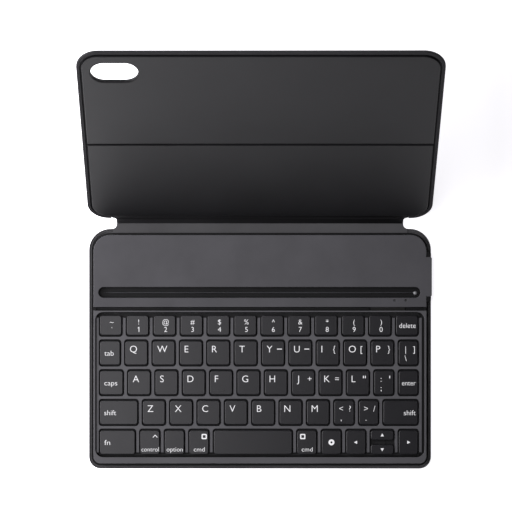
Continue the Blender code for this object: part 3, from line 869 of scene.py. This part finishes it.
def make_web(openings):
    """The grid: rounded openings between the keys, and uprights with free ends front and rear."""
    low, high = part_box("key_web")
    side = (KEY_GAP - WEB_BAR_X) / 2
    boxes = sorted(openings.values(), key=lambda box: (round(box[2] / (5 * MM)), box[0]))
    fronts = sorted({round(box[2], 5) for box in boxes})
    gap = fronts[1] - max(box[3] for box in boxes if round(box[2], 5) == fronts[0])
    end = (gap - WEB_BAR_Y) / 2
    grown = {}
    for box in boxes:
        cell = (box[0] - side, box[1] + side, box[2] - end, box[3] + end)
        grown.setdefault(round(box[2], 5), []).append(cell)
    outline = [(low.x, low.y)]
    for left, right, _, rear in grown[fronts[0]]:
        arch = rounded(left, right, low.y - 10 * MM, rear, [0, 0, WEB_CORNER, WEB_CORNER], 6)
        outline.append((left, low.y))
        outline += arch[:1:-1]
        outline.append((right, low.y))
    outline += [(high.x, low.y), (high.x, high.y)]
    for left, right, front, _ in reversed(grown[fronts[-1]]):
        cup = rounded(left, right, front, high.y + 10 * MM, [WEB_CORNER, WEB_CORNER, 0, 0], 6)
        outline.append((right, high.y))
        outline += cup[-3::-1]
        outline.append((left, high.y))
    outline.append((low.x, high.y))
    loops = [outline]
    for front in fronts[1:-1]:
        for left, right, near, far in grown[front]:
            loops.append(rounded(left, right, near, far, [WEB_CORNER] * 4, 6))
    web = plate("web_grid", loops, low.z, high.z, 0.15 * MM, WEB, resolution=2)
    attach(web, "base")
    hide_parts("key_web")


# Casing


def make_frame_bezel():
    """The bezel round the well, with rounded upper edges."""
    low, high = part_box("keyboard_frame")
    front = FRONT_RADIUS - SHELL_INSET
    outer = rounded(low.x, high.x, low.y, high.y, [front, front, 0, 0])
    sides = (low.x + FRAME_SIDE, high.x - FRAME_SIDE, low.y + FRAME_FRONT, high.y - FRAME_REAR)
    well = rounded(*sides, [WELL_RADIUS] * 4)
    bezel = plate("keyboard_bezel", [outer, well], low.z, high.z, 0.22 * MM, FRAME)
    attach(bezel, "base")
    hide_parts("keyboard_frame")


def make_deck():
    """The deck plate with its side tab, the slot with rounded lips and the two lamp holes."""
    low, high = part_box("top_deck")
    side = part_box("keyboard_frame")[1].x
    radius = REAR_RADIUS - SHELL_INSET
    outer = rounded(low.x, side, low.y, high.y, [0, 0, radius, radius])
    tab = rounded(side, high.x, TAB_FRONT, TAB_REAR, [0, TAB_CORNER, TAB_CORNER, 0], 5)[1:-1]
    outline = outer[:2] + [(side, TAB_FRONT)] + tab + [(side, TAB_REAR)] + outer[2:]
    rail_low, rail_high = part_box("slot_rail_front")
    front = rail_high.y + RAIL_GAP
    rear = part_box("slot_rail_rear")[0].y - RAIL_GAP
    reach = (rear - front) / 2
    slot = stadium(rail_low.x - reach, rail_high.x + reach, front, rear, 20)
    loops = [outline, slot]
    for lamp in ("lamp_pipe_left", "lamp_pipe_right"):
        middle = sum(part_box(lamp), Vector()) / 2
        loops.append(circle(middle.x, middle.y, LAMP_HOLE_RADIUS, 16))
    deck = plate("deck_plate", loops, low.z, high.z, DECK_EDGE, DECK)
    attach(deck, "base")
    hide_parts("top_deck")
    return slot


def make_slot_liner(slot):
    """A stadium-shaped liner with round ends under the slot's lips, in place of the two rails."""
    low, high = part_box("slot_rail_front")
    half = (high.x - low.x) / 2
    middle = Vector((sum(x for x, _ in slot) / len(slot), sum(y for _, y in slot) / len(slot)))

    def offset(distance):
        ring = []
        for x, y in slot:
            anchor_x = min(max(x, middle.x - half), middle.x + half)
            direction = Vector((x - anchor_x, y - middle.y)).normalized()
            ring.append((x + direction.x * distance, y + direction.y * distance))
        return ring

    inner, outer = offset(RAIL_GAP), offset(LINER_REACH)
    rings = [raised(outer, low.z), raised(outer, high.z), raised(inner, high.z), raised(inner, low.z)]
    liner = lofted("slot_liner", rings + rings[:1], BLACK, capped=False)
    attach(liner, "base")
    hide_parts("slot_rail_front", "slot_rail_rear")


def make_magnet_bar():
    """The half-round bar along the slot's floor, tapered at its ends."""
    low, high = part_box("slot_magnet_bar")
    half = (high.y - low.y) / 2
    middle = (high.y + low.y) / 2
    rings = []
    for step in range(BAR_STEPS + 1):
        along = step / BAR_STEPS
        near_end = min(along, 1 - along) * BAR_TAPER
        taper = max(math.sin(min(near_end, math.pi / 2)), 0.25)
        arch = []
        for angle_step in range(13):
            angle = math.pi * angle_step / 12
            height = (high.z - low.z) * taper * math.sin(angle)
            arch.append((middle + half * taper * math.cos(angle), low.z + height))
        rings.append(upright(arch, low.x + (high.x - low.x) * along))
    bar = lofted("slot_bar", rings, BAR)
    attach(bar, "base")
    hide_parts("slot_magnet_bar")


def rim_profile(width, top, floor):
    """The soft rim's section from its outer foot to the moat: (inset, height) pairs."""
    profile = [(0.25 * MM, 0.0), (0.05 * MM, 0.15 * MM), (0, 0.45 * MM)]
    bead = 0.92 * MM
    crown = 0.42 * MM
    for step in range(1, 10):
        angle = math.radians(180 * step / 10)
        profile.append((bead * (1 - math.cos(angle)) / 2, top - crown * (1 - math.sin(angle))))
    profile += [(bead + 0.03 * MM, top - 0.50 * MM), (bead + 0.14 * MM, top - 0.50 * MM)]
    inner = bead + 0.18 * MM
    profile += [(inner, top - 0.16 * MM), (inner + 0.12 * MM, top - 0.05 * MM)]
    profile += [(width - 0.25 * MM, top - 0.05 * MM), (width - 0.06 * MM, top - 0.14 * MM)]
    profile += [(width, top - 0.35 * MM), (width + 0.03 * MM, floor)]
    return profile


def rim_solid(name, box, radii, profile, material, matrix=None):
    """A tray: a sheet whose edge follows the profile all round."""
    left, right, front, rear = box
    rings = []
    for inset, height in profile:
        corners = [max(radius - inset, MIN_CORNER) for radius in radii]
        sides = (left + inset, right - inset, front + inset, rear - inset)
        rings.append(raised(rounded(*sides, corners, 12), height))
    return lofted(name, rings, material, matrix, SKIN_SMOOTH_ANGLE)


def make_base_skin():
    """The soft skin with its raised rim, open where the spine starts and cut back at the block."""
    low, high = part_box("base_skin")
    profile = rim_profile(RIM_WIDTH, high.z - 0.05 * MM, MOAT_FLOOR)
    radii = [FRONT_RADIUS, FRONT_RADIUS, REAR_RADIUS, REAR_RADIUS]
    skin = rim_solid("base_soft_skin", (low.x, high.x, low.y, high.y), radii, profile, SKIN)
    spine_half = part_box("spine_tongue")[1].x + FILLET
    start = BASE_CREASE.y - ROOT_OVERLAP
    skin = cut_box(skin, (-spine_half, start, -MM), (spine_half, high.y + MM, CLEAR))
    block_low, block_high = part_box("port_bezel")
    front, rear = block_low.y - 0.2 * MM, block_high.y + 0.2 * MM
    shell_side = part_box("lower_shell")[1].x
    skin = cut_box(skin, (shell_side, front, MOAT_FLOOR), (high.x + MM, rear, CLEAR))
    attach(skin, "base")
    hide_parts("base_skin")


def make_moat_shade_sheet():
    """A black sheet over the moat's floor between the shell and the soft rim: painted shade that keeps the
    narrow moat dark.
    """
    low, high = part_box("base_skin")
    shell_low, shell_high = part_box("lower_shell")
    side = high.x - RIM_WIDTH + 0.02 * MM
    rear = min(high.y - RIM_WIDTH, BASE_CREASE.y - 0.85 * MM)
    front = low.y + RIM_WIDTH - 0.02 * MM
    near, far = FRONT_RADIUS - RIM_WIDTH, REAR_RADIUS - RIM_WIDTH
    outer = rounded(-side, side, front, rear, [near, near, far, far], 12)
    hidden = 1.5 * MM
    left, right = shell_low.x + hidden, shell_high.x - hidden
    corners = [near, near, far - hidden, far - hidden]
    inner = rounded(left, right, shell_low.y + hidden, shell_high.y - hidden, corners, 12)
    top = MOAT_FLOOR + 0.16 * MM
    # Painted shade: a black sheet laid on the moat's floor.
    shade_sheet = plate("moat_painted_shade_sheet", [outer, inner], MOAT_FLOOR, top, 0.04 * MM, BLACK)
    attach(shade_sheet, "base")


def make_slot_stud():
    """The small round contact at the right end of the slot's bar."""
    low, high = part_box("slot_magnet_bar")
    x, y = high.x - 0.2 * MM, (low.y + high.y) / 2 - 0.2 * MM
    rings = [raised(circle(x, y, radius * MM, 20), low.z + height * MM) for radius, height in STUD_PROFILE]
    stud = lofted("slot_stud", rings, DULL_STEEL)
    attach(stud, "base")


def make_block():
    """The connector block: a rounded black moulding with openings for the socket and the switch."""
    low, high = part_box("port_bezel")
    outline = rounded(low.x, high.x, low.y, high.y, [0.2 * MM, 1.2 * MM, 1.2 * MM, 0.2 * MM], 6)
    block = plate("connector_block", [outline], low.z, high.z, 0.18 * MM, BLACK)
    hole = section(*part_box("usb_socket_shell"), -0.12 * MM, 1.35 * MM)
    rings = [upright(hole, low.x - MM), upright(hole, high.x + MM)]
    block = cut_with(block, lofted("cutter", rings, BLACK))
    switch_low, switch_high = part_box("power_switch")
    front, rear = switch_low.y - 0.3 * MM, switch_high.y + SWITCH_TRAVEL + 0.3 * MM
    bottom, top = switch_low.z - 0.25 * MM, switch_high.z + 0.25 * MM
    pocket = rounded(front, rear, bottom, top, [0.9 * MM] * 4, 6)
    rings = [upright(pocket, switch_low.x - 0.15 * MM), upright(pocket, high.x + MM)]
    block = cut_with(block, lofted("cutter", rings, BLACK))
    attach(block, "base")
    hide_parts("port_bezel")


def make_socket():
    """The charging socket's steel shell, with an eased lip."""
    low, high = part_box("usb_socket_shell")
    outer = section(low, high, 0, 1.25 * MM, 8)
    lip = section(low, high, 0.1 * MM, 1.15 * MM, 8)
    inner = section(low, high, 0.3 * MM, 0.95 * MM, 8)
    rings = [
        upright(outer, low.x),
        upright(outer, high.x - 0.12 * MM),
        upright(lip, high.x),
        upright(inner, high.x - 0.1 * MM),
        upright(inner, low.x + 0.8 * MM),
    ]
    socket = lofted("socket_shell", rings, STEEL)
    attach(socket, "base")
    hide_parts("usb_socket_shell")


def make_switch():
    """The sliding switch, with ribs across its face."""
    low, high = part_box("power_switch")
    rings = []
    steps = SWITCH_RIBS * 4
    for step in range(steps + 1):
        along = step / steps
        y = low.y + (high.y - low.y) * along
        proud = 0.14 * MM * (0.5 + 0.5 * math.cos(math.tau * SWITCH_RIBS * along))
        ends = 0.25 * MM if step in (0, steps) else 0
        face = high.x - 0.16 * MM + proud - ends
        bottom, top = low.z + ends, high.z - ends
        rings.append([(low.x, y, bottom), (face, y, bottom), (face, y, top), (low.x, y, top)])
    switch = lofted("ribbed_switch", rings, BLACK)
    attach(switch, "switch")
    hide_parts("power_switch")


def finish_inner_nodes():
    """Materials for the CAD nodes that stay."""
    finishes = {
        "lower_shell": BLACK,
        "usb_socket_tongue": BLACK,
        "support_plate": STEEL,
        "membrane": FILM,
        "dome_sheet": SILICONE,
        "battery": CELL,
        "circuit_board": CIRCUIT,
        "controller_chip": BLACK,
        "flex_ribbon": FILM,
        "lamp_pipe_left": LAMP,
        "lamp_pipe_right": LAMP,
        "lower_cover_board": BOARD,
        "upper_cover_board": BOARD,
        "cover_magnet_left": STEEL,
        "cover_magnet_right": STEEL,
    }
    for node, material in finishes.items():
        data = frame["nodes"][node].data
        data.materials.clear()
        data.materials.append(material)


# Spine


def spine_point(path, offset):
    """A point on the spine: path along its middle from the base's crease, offset upwards."""
    flat = STANDING.y - BASE_CREASE.y
    bend = SPINE_BEND
    radius = bend / math.tan(TILT / 2)
    arc = radius * TILT
    if path <= flat - bend:
        return (BASE_CREASE.y + path, BASE_CREASE.z + offset)
    if path <= flat - bend + arc:
        angle = (path - (flat - bend)) / radius
        centre_y = STANDING.y - bend
        reach = radius - offset
        return (centre_y + reach * math.sin(angle), BASE_CREASE.z + radius - reach * math.cos(angle))
    along = path - (flat - bend + arc) + bend
    y = STANDING.y + along * math.cos(TILT) - offset * math.sin(TILT)
    z = STANDING.z + along * math.sin(TILT) + offset * math.cos(TILT)
    return (y, z)


def path_of_slope(s):
    """The spine's path length at s up the slope."""
    flat = STANDING.y - BASE_CREASE.y
    bend = SPINE_BEND
    radius = bend / math.tan(TILT / 2)
    return flat - bend + radius * TILT + s - bend


def spine_half_width(path):
    """Half the spine's width: it flares in round fillets to the base and to the cover."""
    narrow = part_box("spine_tongue")[1].x
    edge_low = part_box("base_skin")[1].y - BASE_CREASE.y
    edge_high = path_of_slope(leaf_box("lower_cover_skin")[0].y)
    for distance in (path - edge_low, edge_high - path):
        if distance <= 0:
            return narrow + FILLET
        if distance < FILLET:
            across = FILLET - distance
            return narrow + FILLET - math.sqrt(FILLET**2 - across**2)
    return narrow


def spine_piece(name, start, end, steps, material):
    """A stretch of the spine as a closed slab with soft side edges."""
    rings = []
    for step in range(steps + 1):
        path = start + (end - start) * step / steps
        wide = spine_half_width(path)
        right = [(wide - inset * MM, part * SPINE_HALF) for inset, part in SPINE_SECTION]
        left = [(-x, offset) for x, offset in reversed(right)]
        around = left[-1:] + right + left[:-1]
        rings.append([(x, *spine_point(path, offset)) for x, offset in around])
    piece = lofted(name, rings, material, smooth=SKIN_SMOOTH_ANGLE)
    # Painted shade: faces past the standing crease, in the corner between deck and cover, take the darkest
    # leather copy.
    piece.data.materials.append(PAINTED_SHADE_SKIN)
    for face in piece.data.polygons:
        if face.center.y > STANDING.y - SPINE_BEND * 0.6:
            face.material_index = 1
    return piece


def make_spine():
    """Three stretches, each bending at one crease, and meeting where their body is rigid."""
    flat = STANDING.y - BASE_CREASE.y
    tongue_middle = flat * 0.5
    strip_middle = path_of_slope(COVER_CREASE_S * 0.5)
    start = -ROOT_OVERLAP
    end = path_of_slope(COVER_CREASE_S + NECK_OVERLAP)
    root = spine_piece("spine_skin_root", start, tongue_middle, 14, SKIN)
    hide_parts("spine_tongue")
    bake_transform(root)
    fold = spine_piece("spine_skin_fold", tongue_middle, strip_middle, 34, SKIN)
    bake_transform(fold)
    neck = spine_piece("spine_skin_neck", strip_middle, end, 24, SKIN)
    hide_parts("spine_strip")
    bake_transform(neck)


# Cover


def cover_profile(base, top, floor):
    """The cover rim's section: (inset, height) pairs from the outer face to the inner pocket."""
    profile = [(0.45 * MM, base), (0.15 * MM, base + 0.08 * MM), (0.0, base + 0.35 * MM)]
    for step in range(0, 6):
        angle = math.radians(90 * step / 5)
        profile.append((0.55 * MM * (1 - math.cos(angle)), top - 0.5 * MM * (1 - math.sin(angle))))
    profile += [(0.95 * MM, top), (1.06 * MM, top - 0.16 * MM), (1.18 * MM, top - 0.01 * MM)]
    profile += [(COVER_RIM - 0.25 * MM, top - 0.03 * MM), (COVER_RIM, top - 0.25 * MM)]
    profile += [(COVER_RIM + 0.02 * MM, floor)]
    return profile


def window_outline(grow=0.0):
    """The camera window's outline in the cover's own space."""
    low, high = leaf_box("upper_cover_skin")
    x = low.x + WINDOW_FROM_SIDE
    s = high.y - WINDOW_FROM_FAR
    half_length = WINDOW_LENGTH / 2 + grow
    half_width = WINDOW_WIDTH / 2 + grow
    return stadium(x - half_length, x + half_length, s - half_width, s + half_width, 24)


def window_cutter(grow):
    outline = window_outline(grow)
    return lofted("cutter", [raised(outline, -CLEAR), raised(outline, CLEAR)], SKIN, LEAF)


def make_cover_skin():
    """The outer skin with its rim: lower leaf, a bending stretch at the fold, and upper leaf."""
    low, high = leaf_box("lower_cover_skin", "upper_cover_skin")
    profile = cover_profile(low.z, high.z, COVER_FLOOR)
    box = (low.x, high.x, low.y, high.y)
    far = 200 * MM
    spine_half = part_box("spine_tongue")[1].x + FILLET
    spans = (
        ("cover_skin_lower", -far, FOLD_S - CREASE_REACH),
        ("cover_skin_fold", FOLD_S - CREASE_REACH, FOLD_S + CREASE_REACH),
        ("cover_skin_upper", FOLD_S + CREASE_REACH, far),
    )
    for name, start, end in spans:
        # The skin is in the darker leather copy: painted shade.
        piece = rim_solid(name, box, [COVER_RADIUS] * 4, profile, SHADED_COVER_SKIN, LEAF)
        if start > -far:
            piece = cut_box(piece, (-far, -far, -far), (far, start, far), LEAF)
        if end < far:
            piece = cut_box(piece, (-far, end, -far), (far, far, far), LEAF)
        if name == "cover_skin_lower":
            neck = COVER_CREASE_S + NECK_OVERLAP
            piece = cut_box(piece, (-spine_half, -far, -far), (spine_half, neck, far), LEAF)
            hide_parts("lower_cover_skin")
            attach(piece, "lower_cover")
        elif name == "cover_skin_upper":
            piece = cut_with(piece, window_cutter(0.35 * MM))
            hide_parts("upper_cover_skin")
            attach(piece, "upper_cover")
        else:
            piece = sliced(piece)
            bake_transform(piece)


def sliced(piece):
    """Adds cross cuts to the bending stretch so that it can curve, and paints shade on the groove's floor
    with the darkest leather copy.
    """
    mesh = bmesh.new()
    mesh.from_mesh(piece.data)
    normal = LEAF.to_3x3() @ Vector((0, 1, 0))
    count = 10
    for step in range(1, count):
        s = FOLD_S - CREASE_REACH + 2 * CREASE_REACH * step / count
        geometry = mesh.verts[:] + mesh.edges[:] + mesh.faces[:]
        point = LEAF @ Vector((0, s, 0))
        bmesh.ops.bisect_plane(mesh, geom=geometry, plane_co=point, plane_no=normal)
    mesh.to_mesh(piece.data)
    mesh.free()
    # Painted shade: the groove's floor takes the darkest leather copy.
    piece.data.materials.append(PAINTED_SHADE_SKIN)
    inverse = LEAF.inverted()
    for face in piece.data.polygons:
        if face.normal.dot(LEAF.col[2].xyz) > 0.9 and (inverse @ face.center).z < 0.2 * MM:
            face.material_index = 1
    return piece


def make_lining():
    """The inner panels: smooth sheets with soft edges that leave the fold's groove between them."""
    corner = LINING_RADIUS
    low, high = leaf_box("lower_cover_lining")
    outline = rounded(low.x, high.x, low.y, high.y - GROOVE_WIDENING, [corner, corner, 0, 0], 12)
    lower = plate("lining_lower", [outline], LINING_LOW, high.z, LINING_EDGE, LINING, LEAF)
    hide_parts("lower_cover_lining")
    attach(lower, "lower_cover")
    low, high = leaf_box("upper_cover_lining")
    outline = rounded(low.x, high.x, low.y, high.y, [0, 0, corner, corner], 12)
    loops = [outline, window_outline(0.3 * MM)]
    upper = plate("lining_upper", loops, LINING_LOW, high.z, LINING_EDGE, LINING, LEAF)
    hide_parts("upper_cover_lining")
    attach(upper, "upper_cover")


def make_window_trim():
    """The ring that finishes the camera window's edge through the cover."""
    low = leaf_box("upper_cover_skin")[0].z
    high = leaf_box("upper_cover_lining")[1].z
    profile = (
        (0.45, low + 0.02 * MM),
        (0.08, low + 0.02 * MM),
        (0.0, low + 0.15 * MM),
        (0.0, high - 0.15 * MM),
        (0.08, high - 0.01 * MM),
        (0.45, high - 0.01 * MM),
    )
    rings = [raised(window_outline(grow * MM), n) for grow, n in profile]
    # Painted shade: the window's edge is in the darkest leather copy.
    trim = lofted("window_trim", rings + rings[:1], PAINTED_SHADE_SKIN, LEAF, capped=False)
    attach(trim, "upper_cover")


make_stage()
make_web(make_keys())
make_frame_bezel()
make_slot_liner(make_deck())
make_magnet_bar()
make_slot_stud()
make_base_skin()
make_moat_shade_sheet()
make_block()
make_socket()
make_switch()
make_spine()
make_cover_skin()
make_lining()
make_window_trim()
finish_inner_nodes()
